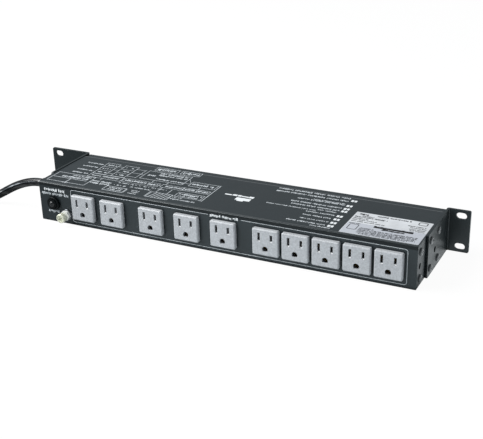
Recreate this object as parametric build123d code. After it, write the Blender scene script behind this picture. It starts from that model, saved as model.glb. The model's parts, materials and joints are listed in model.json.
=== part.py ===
from build123d import *
import math
import os

# Rack power strip, one rack unit high, for a 19 inch cabinet.
# Frame: X to the right seen from the front, Y towards the outlets (the rear face), Z up.
# Origin: centre of the ears' hole pattern, on the ears' rear faces, which bear on the rack rails.
# The narrow ear is at the -X end, the wide ear and the cord at the +X end. Millimetres.

os.makedirs("parts", exist_ok=True)

# ---- rack ears ----
RACK_WIDTH = 482.6          # overall width over both ears
HOLE_SPAN_X = 465.12        # rack hole columns, centre to centre
HOLE_SPAN_Z = 31.75         # outer holes of one rack unit, centre to centre
SLOT_HEIGHT = 6.6
SLOT_LENGTH = 10.1
EAR_TOP = 21.8
EAR_LOW = -21.5
EAR_T = 2.3                 # ear sheet thickness
EAR_DEPTH = 67.4            # how far the ears' side plates run back
EAR_CORNER = 1.6            # outer corner radius

# ---- chassis ----
X_NARROW = -218.2           # chassis side on the narrow-ear end
X_WIDE = 191.0              # chassis side on the wide-ear end
TOP = 21.1
UNDERSIDE = -21.7
REAR = 92.3                 # rear face
FRONT = -EAR_T              # front face, flush with the ears
SHEET = 1.2                 # chassis sheet thickness
GAP = 0.05                  # gap between folded shells
CLEAR = 0.02                # gap between parts that touch
COVER_FRONT = 8.4           # front edge of the top cover
COVER_BEND = 1.6            # outside bend radius

PANEL_INNER = REAR - SHEET          # inside of the rear panel
FLOOR = UNDERSIDE + SHEET           # top of the floor sheet
COVER_LOW = FLOOR + GAP             # lower edge of the cover's rear face
TRAY_TOP = TOP - SHEET - GAP        # top of the tray, under the cover
NARROW_INNER = X_NARROW + SHEET     # inside of each tray wall
WIDE_INNER = X_WIDE - SHEET
NARROW_TAB = NARROW_INNER + SHEET + GAP     # inside of each cover tab
WIDE_TAB = WIDE_INNER - SHEET - GAP

# ---- screws and holes; those in the sides are (Y, Z) ----
EAR_SCREWS = [(59.6, 13.8), (59.6, -13.9), (35.1, 13.8), (35.1, -13.9)]
EAR_HOLE = (45.2, -1.1)
EAR_HOLE_R = 3.0
NARROW_SCREWS = [(83.6, 12.6), (83.6, -13.6)]
WIDE_SCREWS = [(84.2, -13.6)]
NARROW_HOLE = (84.7, -1.0)
NARROW_HOLE_R = 2.9
BASE_SCREW_X = [-178.0, -49.0, 78.0]
BASE_SCREW_Y = 84.0
BASE_HOLE_R = 1.9
SHANK_R = 2.0
SCREW_HOLE_R = SHANK_R + 0.12

# ---- outlets ----
OUTLET_X = [135.3, 100.1, 54.0, 13.4, -27.0, -72.2, -102.5, -132.8, -163.0, -193.0]
OUTLET_Z = -0.4             # outlet centre height
OUTLET_FACE = 26.8          # bezel size, square
OUTLET_PROUD = 4.5          # bezel height above the rear face
OUTLET_BODY = 24.7          # body inside the panel, square
OUTLET_CUT = 25.0           # panel cut-out, square
OUTLET_DEEP = 22.2          # body depth inside the rear face
BLADE_PITCH = 12.7          # blade slot centres
BLADE_X = BLADE_PITCH / 2
BLADE_DZ = 5.26             # blade slots above the outlet centre
GROUND_DZ = -6.65           # ground hole below the outlet centre

# ---- breaker, ground terminal, cord, lamps ----
BREAKER_X, BREAKER_Z = 173.7, -0.8
TERMINAL_X, TERMINAL_Z = 158.5, -11.8
CORD_R = 4.5
CORD_Y = 76.0
CORD_Z = 12.1
LENS_X = [-150.0, -137.0]
LENS_Z = 0.0


# ---- helpers ----
def block(x0, x1, y0, y1, z0, z1):
    size = Box(abs(x1 - x0), abs(y1 - y0), abs(z1 - z0))
    return Pos((x0 + x1) / 2, (y0 + y1) / 2, (z0 + z1) / 2) * size


def rod_x(x0, x1, y, z, r):
    return Pos((x0 + x1) / 2, y, z) * Rot(0, 90, 0) * Cylinder(r, abs(x1 - x0))


def rod_y(y0, y1, x, z, r):
    return Pos(x, (y0 + y1) / 2, z) * Rot(90, 0, 0) * Cylinder(r, abs(y1 - y0))


def rod_z(z0, z1, x, y, r):
    return Pos(x, y, (z0 + z1) / 2) * Cylinder(r, abs(z1 - z0))


def one(shape):
    """The shape as a single solid, the largest if there are several."""
    solids = shape.solids()
    return solids[0] if len(solids) == 1 else max(solids, key=lambda s: s.volume)


def export(name, shapes):
    """Write one shape as a single solid, or a list of shapes as a group."""
    if isinstance(shapes, list):
        solids = [solid for shape in shapes for solid in shape.solids()]
        shape = solids[0] if len(solids) == 1 else Compound(children=solids)
    else:
        shape = one(shapes)
    export_step(shape, f"parts/{name}.step")


def near(a, b, tol=0.02):
    return abs(a - b) < tol


def edges_at(shape, axis, test):
    """Edges along the axis whose centre passes the test."""
    return [e for e in shape.edges().filter_by(axis) if test(e.center())]


def circles(shape):
    return shape.edges().filter_by(GeomType.CIRCLE)


def plane_y(y, x=0, z=0):
    """Plane across Y, its own x along X, facing the rear."""
    return Plane(origin=(x, y, z), x_dir=(1, 0, 0), z_dir=(0, 1, 0))


def sweep_round(path, r):
    return one(sweep(Plane(origin=path @ 0, z_dir=path % 0) * Circle(r), path=path))


def curved_wire(points, r, tangents):
    """A round wire along a smooth curve through the points."""
    return sweep_round(Spline(*points, tangents=tangents), r)


def bent_wire(points, r, bend=1.8):
    """A round wire with straight runs and rounded bends."""
    return sweep_round(FilletPolyline(*points, radius=bend), r)


def facing_x(shape, sign, x, places):
    """Copies at each (Y, Z) place, with the shape's +Z turned to sign * X."""
    return [Pos(x, y, z) * Rot(0, sign * 90, 0) * shape for y, z in places]


# ---- sheet metal ----
def base_tray():
    """Floor, front face with its top return, and both side walls."""
    wall_end = PANEL_INNER - GAP
    return_back = 21.0
    tray = block(X_NARROW, X_WIDE, FRONT, REAR, UNDERSIDE, FLOOR)
    tray += block(X_NARROW, X_WIDE, FRONT, FRONT + SHEET, UNDERSIDE, TRAY_TOP)
    tray += block(X_NARROW, NARROW_INNER, FRONT, wall_end, UNDERSIDE, TRAY_TOP)
    tray += block(WIDE_INNER, X_WIDE, FRONT, wall_end, UNDERSIDE, TRAY_TOP)
    tray += block(NARROW_INNER, WIDE_INNER, FRONT, return_back, TRAY_TOP - SHEET, TRAY_TOP)
    tray = one(tray)
    front_top = edges_at(tray, Axis.X, lambda c: near(c.Y, FRONT) and near(c.Z, TRAY_TOP))
    front_low = edges_at(tray, Axis.X, lambda c: near(c.Y, FRONT) and near(c.Z, UNDERSIDE))
    tray = fillet(front_top + front_low, 1.15)
    side_low = edges_at(tray, Axis.Y, lambda c: near(c.Z, UNDERSIDE)
                        and (near(c.X, X_NARROW) or near(c.X, X_WIDE)))
    tray = fillet(side_low, 1.0)

    narrow_cut = (X_NARROW - 1, NARROW_INNER + 0.01)
    wide_cut = (WIDE_INNER - 0.01, X_WIDE + 1)
    for y, z in EAR_SCREWS:
        tray -= rod_x(X_NARROW - 1, X_NARROW + 3, y, z, SCREW_HOLE_R)
        tray -= rod_x(X_WIDE - 3, X_WIDE + 1, y, z, SCREW_HOLE_R)
    for y, z in NARROW_SCREWS:
        tray -= rod_x(*narrow_cut, y, z, SCREW_HOLE_R)
    for y, z in WIDE_SCREWS:
        tray -= rod_x(*wide_cut, y, z, SCREW_HOLE_R)
    tray -= rod_x(*narrow_cut, *EAR_HOLE, EAR_HOLE_R)
    tray -= rod_x(*wide_cut, *EAR_HOLE, EAR_HOLE_R)
    tray -= rod_x(*narrow_cut, *NARROW_HOLE, NARROW_HOLE_R)
    tray -= rod_x(*wide_cut, CORD_Y, CORD_Z, 6.3)
    for x in BASE_SCREW_X:
        tray -= Pos(x, BASE_SCREW_Y, UNDERSIDE + SHEET / 2) * Cone(3.35, BASE_HOLE_R, SHEET)
        tray -= rod_z(UNDERSIDE - 1, UNDERSIDE + 2, x, BASE_SCREW_Y, BASE_HOLE_R)
    for x in LENS_X:
        tray -= rod_y(FRONT - 1, FRONT + SHEET + 0.5, x, LENS_Z, 3.05)
    return tray


def top_cover():
    """Top and rear face in one bent sheet, with a lower return and end tabs."""
    return_front = 78.0
    narrow_tab_front = 77.0
    wide_tab_top = -7.5
    cover = block(X_NARROW, X_WIDE, COVER_FRONT, REAR, TOP - SHEET, TOP)
    cover += block(X_NARROW, X_WIDE, PANEL_INNER, REAR, COVER_LOW, TOP)
    cover += block(NARROW_INNER + 0.1, WIDE_INNER - 0.1, return_front, PANEL_INNER,
                   COVER_LOW, COVER_LOW + SHEET)
    cover += block(NARROW_INNER + GAP, NARROW_TAB, narrow_tab_front, PANEL_INNER,
                   COVER_LOW, TOP - SHEET)
    cover += block(WIDE_TAB, WIDE_INNER - GAP, return_front, PANEL_INNER,
                   COVER_LOW, wide_tab_top)
    cover = one(cover)
    cover = fillet(edges_at(cover, Axis.X, lambda c: near(c.Y, REAR) and near(c.Z, TOP)),
                   COVER_BEND)
    cover = fillet(edges_at(cover, Axis.X, lambda c: near(c.Y, COVER_FRONT) and near(c.Z, TOP)),
                   0.9)
    cover = chamfer(edges_at(cover, Axis.X, lambda c: near(c.Y, REAR) and near(c.Z, COVER_LOW)),
                    0.25)
    half = OUTLET_CUT / 2
    for x in OUTLET_X:
        cover -= block(x - half, x + half, REAR - 4, REAR + 1, OUTLET_Z - half, OUTLET_Z + half)
    cover -= rod_y(REAR - 4, REAR + 1, BREAKER_X, BREAKER_Z, 4.95)
    cover -= rod_y(REAR - 4, REAR + 1, TERMINAL_X, TERMINAL_Z, 2.75)
    for x in BASE_SCREW_X:
        cover -= rod_z(UNDERSIDE, UNDERSIDE + 4, x, BASE_SCREW_Y, BASE_HOLE_R)
    for y, z in NARROW_SCREWS:
        cover -= rod_x(X_NARROW, X_NARROW + 4, y, z, SCREW_HOLE_R)
    for y, z in WIDE_SCREWS:
        cover -= rod_x(X_WIDE - 4, X_WIDE, y, z, SCREW_HOLE_R)
    cover -= rod_x(X_NARROW, X_NARROW + 4, *NARROW_HOLE, NARROW_HOLE_R)
    return cover


def rack_ear(sign, side_x):
    """L bracket with a slotted flange; sign is the X direction it points."""
    inner = side_x + sign * CLEAR
    outer = side_x + sign * (EAR_T + CLEAR)
    tip = sign * RACK_WIDTH / 2

    def at_corner(c):
        return near(c.Z, EAR_TOP) or near(c.Z, EAR_LOW)

    ear = block(inner, outer, FRONT, EAR_DEPTH, EAR_LOW, EAR_TOP)
    ear += block(inner, tip, FRONT, 0, EAR_LOW, EAR_TOP)
    ear = one(ear)
    ear = fillet(edges_at(ear, Axis.Z, lambda c: near(c.X, outer) and near(c.Y, 0)), 1.0)
    ear = fillet(edges_at(ear, Axis.Z, lambda c: near(c.X, inner) and near(c.Y, FRONT)), 2.2)
    ear = fillet(edges_at(ear, Axis.Y, lambda c: near(c.X, tip) and at_corner(c)), EAR_CORNER)
    ear = fillet(edges_at(ear, Axis.X, lambda c: near(c.Y, EAR_DEPTH) and at_corner(c)),
                 EAR_CORNER)
    for side in (-1, 1):
        slot = extrude(Plane.XZ * SlotOverall(SLOT_LENGTH, SLOT_HEIGHT), 6, both=True)
        ear -= Pos(sign * HOLE_SPAN_X / 2, 0, side * HOLE_SPAN_Z / 2) * slot
    cut = (side_x - sign * 2, side_x + sign * 5)
    for y, z in EAR_SCREWS:
        ear -= rod_x(*cut, y, z, SCREW_HOLE_R)
    ear -= rod_x(*cut, *EAR_HOLE, EAR_HOLE_R)
    return one(ear)


# ---- fasteners ----
def pan_screw(head_r, head_h, shank_r, length):
    """Pan-head cross-recess screw: bearing face at z 0, head up, shank down."""
    rim = (head_r, head_h * 0.45)
    crown = (head_r * 0.40, head_h)
    profile = (
        Polyline((0, 0), (head_r, 0), rim)
        + ThreePointArc(rim, (head_r * 0.78, head_h * 0.86), crown)
        + Polyline(crown, (0, head_h), (0, 0))
    )
    head = revolve(Plane.XZ * make_face(profile), Axis.Z)
    screw = head + Pos(0, 0, -length / 2) * Cylinder(shank_r, length)
    arm = head_r * 1.05
    recess = Pos(0, 0, head_h - 0.55) * (Box(arm, 0.85, 1.3) + Box(0.85, arm, 1.3))
    recess += Pos(0, 0, head_h - 0.75) * Cylinder(0.75, 1.6)
    screw = screw - recess
    return one(chamfer(circles(screw).sort_by(Axis.Z)[0], 0.35))


def flat_screw(head_r, shank_r, head_h, length):
    """Countersunk cross-recess screw: top of head at z 0, shank down."""
    screw = Pos(0, 0, -head_h / 2) * Cone(shank_r, head_r, head_h)
    screw += Pos(0, 0, -(head_h + length) / 2) * Cylinder(shank_r, length + head_h)
    arm = head_r * 1.15
    return one(screw - Pos(0, 0, -0.35) * (Box(arm, 0.8, 0.9) + Box(0.8, arm, 0.9)))


def clinch_nut(outer_r, bore_r, height):
    """Round clinch nut, base at z 0, standing up."""
    nut = Pos(0, 0, height / 2) * (Cylinder(outer_r, height) - Cylinder(bore_r, height + 1))
    return one(chamfer(circles(nut).sort_by(Axis.Z)[-2:], 0.25))


def ear_screws():
    screw = pan_screw(head_r=3.6, head_h=1.9, shank_r=SHANK_R, length=8.6)
    return (facing_x(screw, -1, X_NARROW - EAR_T - CLEAR, EAR_SCREWS)
            + facing_x(screw, 1, X_WIDE + EAR_T + CLEAR, EAR_SCREWS))


def side_screws():
    screw = pan_screw(head_r=3.7, head_h=1.9, shank_r=SHANK_R, length=6.4)
    return (facing_x(screw, -1, X_NARROW, NARROW_SCREWS)
            + facing_x(screw, 1, X_WIDE, WIDE_SCREWS))


def side_clinch_nuts():
    """Nuts for the ear screws, on the walls, and for the side screws, on the tabs."""
    nut = clinch_nut(outer_r=3.6, bore_r=SHANK_R + 0.08, height=2.6)
    return (facing_x(nut, 1, NARROW_INNER, EAR_SCREWS)
            + facing_x(nut, -1, WIDE_INNER, EAR_SCREWS)
            + facing_x(nut, 1, NARROW_TAB, NARROW_SCREWS)
            + facing_x(nut, -1, WIDE_TAB, WIDE_SCREWS))


def countersunk_screws():
    screw = flat_screw(head_r=3.28, shank_r=1.8, head_h=SHEET, length=4.2)
    return [Pos(x, BASE_SCREW_Y, UNDERSIDE) * Rot(180, 0, 0) * screw for x in BASE_SCREW_X]


def small_clinch_nuts():
    nut = clinch_nut(outer_r=3.2, bore_r=1.88, height=1.6)
    return [Pos(x, BASE_SCREW_Y, COVER_LOW + SHEET) * nut for x in BASE_SCREW_X]


# ---- outlets: 15 A straight-blade receptacles, each about its own centre, panel face at y 0 ----
BODY_END = -OUTLET_DEEP     # inner end of the body, from the panel's outer face
POCKET_TOP = 3.0            # pockets stop this far above the panel face, under the bezel skin
BODY_HALF = OUTLET_BODY / 2
TAIL_END = -32.0            # end of the contacts' wiring tails


def outlet_body():
    half = OUTLET_FACE / 2
    bevel = 0.95
    bevel_y = OUTLET_PROUD - bevel
    top_size = OUTLET_FACE - 2 * bevel
    bezel = block(-half, half, 0, bevel_y, -half, half)
    bezel = fillet(bezel.edges().filter_by(Axis.Y), 1.5)
    bezel += loft([plane_y(bevel_y) * RectangleRounded(OUTLET_FACE, OUTLET_FACE, 1.5),
                   plane_y(OUTLET_PROUD) * RectangleRounded(top_size, top_size, 1.0)])
    body = bezel + block(-BODY_HALF, BODY_HALF, BODY_END, 0, -BODY_HALF, BODY_HALF)
    # side catches just inside the panel
    for side in (-1, 1):
        body += block(side * (BODY_HALF - 0.5), side * (BODY_HALF + 0.7),
                      -SHEET - 2.8, -SHEET - 0.08, -4, 4)
    # a pocket and a face slot for each blade
    for side, slot_height in ((1, 8.8), (-1, 7.2)):
        x = side * BLADE_X
        body -= block(x - 2.5, x + 2.5, BODY_END - 1, POCKET_TOP, BLADE_DZ - 6, BLADE_DZ + 6)
        body -= block(x - 1.3, x + 1.3, POCKET_TOP - 1, OUTLET_PROUD + 1,
                      BLADE_DZ - slot_height / 2, BLADE_DZ + slot_height / 2)
    # ground pocket and D-shaped hole, flat side down
    body -= block(-4, 4, BODY_END - 1, POCKET_TOP, GROUND_DZ - 4.2, GROUND_DZ + 4.2)
    dee = rod_y(POCKET_TOP - 1, OUTLET_PROUD + 1, 0, GROUND_DZ, 3.0)
    dee -= block(-4, 4, POCKET_TOP - 2, OUTLET_PROUD + 2, GROUND_DZ - 6, GROUND_DZ - 2.2)
    body -= dee
    return one(body)


def outlet_cap():
    """Plate over the body's inner end, slotted for the three contact tails."""
    cap = block(-BODY_HALF, BODY_HALF, BODY_END - 2.05, BODY_END - 0.05, -BODY_HALF, BODY_HALF)
    for x, z0, z1 in ((-BLADE_X, 6.45, 11.95), (BLADE_X, 0.05, 5.55),
                      (0, GROUND_DZ - 2.75, GROUND_DZ + 2.75)):
        cap -= block(x - 0.6, x + 0.6, BODY_END - 3, BODY_END + 1, z0, z1)
    return one(cap)


def blade_contact(side, tail_z0, tail_z1):
    """Spring clip for one blade: two leaves, an end wall and a wiring tail."""
    x = side * BLADE_X
    clip = block(x - 1.9, x - 1.2, -17, -1.5, BLADE_DZ - 4, BLADE_DZ + 4)
    clip += block(x + 1.2, x + 1.9, -17, -1.5, BLADE_DZ - 4, BLADE_DZ + 4)
    clip += block(x - 1.9, x + 1.9, -17.8, -17, BLADE_DZ - 4.6, BLADE_DZ + 5.6)
    for leaf in (-1, 1):
        clip += block(x + leaf * 0.8, x + leaf * 1.3, -6, -4, BLADE_DZ - 3.2, BLADE_DZ + 3.2)
    clip += block(x - 0.4, x + 0.4, TAIL_END, -17.4, tail_z0, tail_z1)
    return one(clip)


def ground_contact():
    """Slit sleeve with a wiring tail."""
    sleeve = rod_y(-16, -1.5, 0, GROUND_DZ, 3.5) - rod_y(-15.2, 0, 0, GROUND_DZ, 2.5)
    sleeve -= block(-0.5, 0.5, -15, 0, GROUND_DZ, GROUND_DZ + 5)
    sleeve += block(-0.4, 0.4, TAIL_END, -15.6, GROUND_DZ - 2.6, GROUND_DZ + 2.6)
    return one(sleeve)


def at_outlets(shape):
    return [Pos(x, REAR, OUTLET_Z) * shape for x in OUTLET_X]


# ---- circuit breaker: body inside the panel, bushing through it, ring nut, push button ----
BREAKER_FRONT = 60.0
LUG_FRONT = 52.0
LINE_LUG_Z = BREAKER_Z + 8.0
LOAD_LUG_Z = BREAKER_Z - 11.0
BUSHING_END = REAR + 3.9


def breaker_body():
    x, z = BREAKER_X, BREAKER_Z
    body = block(x - 6.5, x + 6.5, BREAKER_FRONT, PANEL_INNER - 0.1, z - 14, z + 14)
    body = fillet(body.edges().filter_by(Axis.Y), 1.0)
    body += rod_y(PANEL_INNER - 0.2, BUSHING_END, x, z, 4.85)
    body -= rod_y(BUSHING_END - 8, REAR + 5, x, z, 3.27)
    body -= rod_y(REAR - 9, BUSHING_END - 7.5, x, z, 4.1)
    return body


def breaker_nut():
    x, z = BREAKER_X, BREAKER_Z
    nut = rod_y(REAR + 0.03, REAR + 3.0, x, z, 7.2) - rod_y(REAR - 1, REAR + 5, x, z, 4.9)
    nut = chamfer(circles(nut).sort_by(Axis.Y)[-2:], 0.5)
    for i in range(24):
        a = math.radians(15 * i)
        nut -= rod_y(REAR - 1, REAR + 5, x + 7.45 * math.cos(a), z + 7.45 * math.sin(a), 0.55)
    return nut


def reset_button():
    button = rod_y(REAR - 8.0, REAR + 5.6, BREAKER_X, BREAKER_Z, 3.2)
    button = fillet(circles(button).sort_by(Axis.Y)[-1], 1.9)
    button += rod_y(REAR - 8.0, REAR - 7.0, BREAKER_X, BREAKER_Z, 3.9)
    return button


def breaker_lugs():
    return [block(BREAKER_X - 3.1, BREAKER_X + 3.1, LUG_FRONT, BREAKER_FRONT - CLEAR,
                  z - 0.4, z + 0.4) for z in (LINE_LUG_Z, LOAD_LUG_Z)]


# ---- ground terminal ----
GROUND_BORE_R = 2.48
GROUND_LUG_FRONT = PANEL_INNER - 5.9
GROUND_NUT_Y = REAR + 1.12
GROUND_NUT_H = 3.3
HEAD_Y = REAR + 7.2         # underside of the screw head
HEAD_L = 5.2
SCREW_PITCH = 1.058         # ground screw thread pitch


def terminal_rod(y0, y1, r):
    return rod_y(y0, y1, TERMINAL_X, TERMINAL_Z, r)


def ground_insert():
    return (terminal_rod(PANEL_INNER - 5, PANEL_INNER - CLEAR, 5.0)
            - terminal_rod(REAR - 12, REAR, GROUND_BORE_R))


def ground_star_washer():
    washer = (terminal_rod(REAR + CLEAR, REAR + 1.1, 6.2)
              - terminal_rod(REAR - 1, REAR + 3, GROUND_BORE_R))
    return chamfer(circles(washer).sort_by(Axis.Y)[-2:-1], 0.3)


def ground_nut():
    """Hexagon nut, its corners trimmed by a chamfered cylinder."""
    turn = Rot(90, 0, 0)
    hexagon = extrude(RegularPolygon(5.7, 6), -GROUND_NUT_H)
    nut = one(Pos(TERMINAL_X, GROUND_NUT_Y, TERMINAL_Z) * turn * hexagon)
    nut -= terminal_rod(REAR - 1, REAR + 6, GROUND_BORE_R)
    middle = Pos(TERMINAL_X, GROUND_NUT_Y + GROUND_NUT_H / 2, TERMINAL_Z)
    trim = middle * turn * Cylinder(5.45, GROUND_NUT_H)
    trim = chamfer(circles(trim), 0.45)
    return nut & trim


def ground_captive_washer():
    return (terminal_rod(HEAD_Y - 0.62, HEAD_Y - CLEAR, 4.4)
            - terminal_rod(REAR - 1, REAR + 9, GROUND_BORE_R))


def ground_screw():
    x, z = TERMINAL_X, TERMINAL_Z
    head_end = HEAD_Y + HEAD_L
    screw = terminal_rod(HEAD_Y, head_end, 4.9)
    screw = fillet(circles(screw).sort_by(Axis.Y)[-1], 0.8)
    screw = chamfer(circles(screw).sort_by(Axis.Y)[0], 0.4)
    # knurl, dished end and cross recess
    for i in range(28):
        a = math.radians(360 / 28 * i)
        screw -= rod_y(HEAD_Y + 0.8, head_end - 1.2,
                       x + 5.05 * math.cos(a), z + 5.05 * math.sin(a), 0.32)
    screw -= terminal_rod(head_end - 0.45, head_end + 1, 3.5)
    cross = block(x - 2.6, x + 2.6, head_end - 1.9, head_end, z - 0.6, z + 0.6)
    cross += block(x - 0.6, x + 0.6, head_end - 1.9, head_end, z - 2.6, z + 2.6)
    screw -= Pos(x, 0, z) * Rot(0, 28, 0) * Pos(-x, 0, -z) * cross
    # shank, its thread cut as plain ring grooves
    shank = terminal_rod(REAR - 9.5, HEAD_Y + 0.5, 2.4)
    shank = chamfer(circles(shank).sort_by(Axis.Y)[0], 0.5)
    for k in range(14):
        y = REAR - 8.4 + k * SCREW_PITCH
        shank -= Pos(x, y, z) * Rot(90, 0, 0) * (Cylinder(3, 0.42) - Cylinder(2.12, 1))
    screw += shank
    return screw


def ground_lug():
    x, z = TERMINAL_X, TERMINAL_Z
    return (block(x - 5.5, x + 5.5, GROUND_LUG_FRONT, PANEL_INNER - 5.04, z - 5, z + 5)
            - terminal_rod(70, 100, GROUND_BORE_R))


# ---- power cord and plug ----
CORD_END = X_WIDE - 4.4     # end of the jacket inside the case
PLUG_X, PLUG_Y, PLUG_Z = 296.0, 124.0, UNDERSIDE + 12.2
HEAD_START = PLUG_Y + 11
PLUG_FACE = PLUG_Y + 30
PLUG_BLADE_X = PLUG_X + 4.2
PLUG_PIN_X = PLUG_BLADE_X - 11.9
PLUG_BLADE_Z = [PLUG_Z - BLADE_X, PLUG_Z + BLADE_X]

# cord centre line outside the case: X, Y, Z
CORD_POINTS = [
    (X_WIDE + 8, CORD_Y, CORD_Z), (210.3, 75.4, 11.2), (224.3, 75.0, 7.6),
    (238.8, 75.0, 1.5), (252.3, 75.0, -5.9), (261.6, 75.8, -11.1),
    (271.5, 79.0, -15.5), (282.0, 86.5, -17.1), (291.0, 98.5, -16.1),
    (PLUG_X, 113.0, -11.6), (PLUG_X, PLUG_Y, PLUG_Z),
]


def strain_relief():
    """Flanged bushing in the side wall, with a tapered outer collar."""
    relief = rod_x(X_WIDE + CLEAR, X_WIDE + 2.6, CORD_Y, CORD_Z, 7.6)
    relief = fillet(circles(relief).sort_by(Axis.X)[-1], 0.9)
    relief += Pos(X_WIDE + 4.6, CORD_Y, CORD_Z) * Rot(0, 90, 0) * Cone(6.2, 5.5, 4.2)
    relief += rod_x(X_WIDE - 4.3, X_WIDE + 1, CORD_Y, CORD_Z, 6.2)
    relief -= rod_x(X_WIDE - 8, X_WIDE + 12, CORD_Y, CORD_Z, CORD_R + 0.05)
    return relief


def strain_relief_ring():
    return (rod_x(WIDE_INNER - 2.6, WIDE_INNER - CLEAR, CORD_Y, CORD_Z, 7.5)
            - rod_x(X_WIDE - 8, X_WIDE, CORD_Y, CORD_Z, 6.25))


def cord_jacket():
    start = (CORD_END, CORD_Y, CORD_Z)
    path = Line(start, CORD_POINTS[0]) + Spline(*CORD_POINTS, tangents=[(1, 0, 0), (0, 1, 0.02)])
    return sweep(Plane(origin=start, z_dir=(1, 0, 0)) * Circle(CORD_R), path=path)


def plug_section(y, width, height, corner):
    return plane_y(y, PLUG_X, PLUG_Z) * RectangleRounded(width, height, corner)


def plug_body(cord):
    """Moulded plug with a ribbed neck, hollowed for the cord, blades and pin."""
    neck = loft([plug_section(PLUG_Y - 12, 12.6, 12.6, 6.0),
                 plug_section(PLUG_Y + 3, 16, 15, 6.0)])
    grip = loft([plug_section(PLUG_Y + 3, 16, 15, 6.0),
                 plug_section(HEAD_START, 25, 22.5, 6.5)])
    plug = neck + grip
    head = extrude(plug_section(HEAD_START, 25, 22.5, 6.5), 13)
    face = extrude(plug_section(PLUG_Y + 24, 28.6, 24.2, 7.0), 6)
    face = fillet(face.faces().sort_by(Axis.Y)[-1].edges(), 0.8)
    plug += head + face
    plug = one(plug)
    plug -= cord
    for z in PLUG_BLADE_Z:
        plug -= block(PLUG_BLADE_X - 3.16, PLUG_BLADE_X + 3.16, PLUG_FACE - 12.01,
                      PLUG_FACE + 1, z - 0.76, z + 0.76)
    plug -= rod_y(PLUG_FACE - 12.01, PLUG_FACE + 1, PLUG_PIN_X, PLUG_Z, 2.39)
    # grooves round the neck
    for k in range(5):
        plane = plane_y(PLUG_Y - 9 + k * 2.6, PLUG_X, PLUG_Z)
        core = RectangleRounded(12.2 + k * 0.55, 12.0 + k * 0.4, 5.6)
        plug -= extrude(plane * (Rectangle(40, 40) - core), 0.55, both=True)
    return one(plug)


def plug_blade(z):
    blade = block(PLUG_BLADE_X - 3.15, PLUG_BLADE_X + 3.15, PLUG_FACE - 12, PLUG_FACE + 16.6,
                  z - 0.75, z + 0.75)
    blade = chamfer(blade.faces().sort_by(Axis.Y)[-1].edges(), 0.5)
    blade -= rod_z(z - 2, z + 2, PLUG_BLADE_X, PLUG_FACE + 11.6, 1.6)
    return one(blade)


def plug_ground_pin():
    pin = rod_y(PLUG_FACE - 12, PLUG_FACE + 20.2, PLUG_PIN_X, PLUG_Z, 2.38)
    return fillet(circles(pin).sort_by(Axis.Y)[-1], 2.0)


# ---- wiring ----
WIRE_R = 1.45
CONDUCTOR_R = 1.35
WIRE_END_Y = REAR + TAIL_END - CLEAR        # wires end here, at the contact tails
GROUND_Z = OUTLET_Z + GROUND_DZ
# wires on each row of tails: X from the outlet centre, higher Z, lower Z
LINE = (-BLADE_X, OUTLET_Z + 10.4, OUTLET_Z + 7.3)
NEUTRAL = (BLADE_X, OUTLET_Z + 4.35, OUTLET_Z + 1.25)
GROUND = (0, GROUND_Z + 1.55, GROUND_Z - 1.55)


def jumpers(row, sag=11.0):
    """Short wires from each outlet's tail to the next, bowed towards the front."""
    dx, high, low = row
    wires = []
    for a, b in zip(OUTLET_X[:-1], OUTLET_X[1:]):
        points = [(a + dx, WIRE_END_Y, high),
                  ((a + b) / 2 + dx, WIRE_END_Y - sag, (high + low) / 2),
                  (b + dx, WIRE_END_Y, low)]
        wires.append(curved_wire(points, WIRE_R, [(0, -1, 0), (0, 1, 0)]))
    return wires


def first_tail(row, y):
    """The last two points of a wire into the first outlet's tail."""
    dx, _, low = row
    return [(OUTLET_X[0] + dx, y, low), (OUTLET_X[0] + dx, WIRE_END_Y, low)]


def cord_exit(dy, dz, x):
    """The first two points of a conductor leaving the jacket."""
    y, z = CORD_Y + dy, CORD_Z + dz
    return [(CORD_END - CLEAR, y, z), (x, y, z)]


def line_cord_conductor():
    return bent_wire(cord_exit(0, 2.1, 183.1) + [
        (182.9, 60.0, 10.5), (181.8, 46.6, 7.6), (BREAKER_X, 46.4, LINE_LUG_Z),
        (BREAKER_X, LUG_FRONT - CLEAR, LINE_LUG_Z)], CONDUCTOR_R)


def neutral_cord_conductor():
    return bent_wire(cord_exit(-1.85, -1.1, 183.1) + [
        (182.9, 58.0, 2.6), (173.0, 44.5, 1.4), (152.0, 46.0, 0.8),
        *first_tail(NEUTRAL, 51.0)], CONDUCTOR_R)


def ground_cord_conductor():
    x, z = TERMINAL_X + 3.9, TERMINAL_Z - 3.3
    return bent_wire(cord_exit(1.85, -1.1, 183.3) + [
        (183.3, 77.0, -6.0), (182.6, 70.5, -17.2), (168.0, 69.2, -17.6),
        (x, 74.5, z), (x, GROUND_LUG_FRONT - CLEAR, z)], CONDUCTOR_R, bend=1.7)


def load_feed():
    """Breaker to the first outlet."""
    return bent_wire([
        (BREAKER_X, LUG_FRONT - CLEAR, LOAD_LUG_Z), (BREAKER_X, 40.0, LOAD_LUG_Z),
        (150.0, 36.0, -8.0), (131.5, 40.0, 1.5), *first_tail(LINE, 50.0)], WIRE_R)


def ground_feed():
    """Ground terminal to the first outlet."""
    x, z = TERMINAL_X - 3.9, TERMINAL_Z - 3.3
    return bent_wire([
        (x, GROUND_LUG_FRONT - CLEAR, z), (x, 70.0, z), (146.0, 50.0, -12.5),
        *first_tail(GROUND, 49.0)], CONDUCTOR_R)


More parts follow.
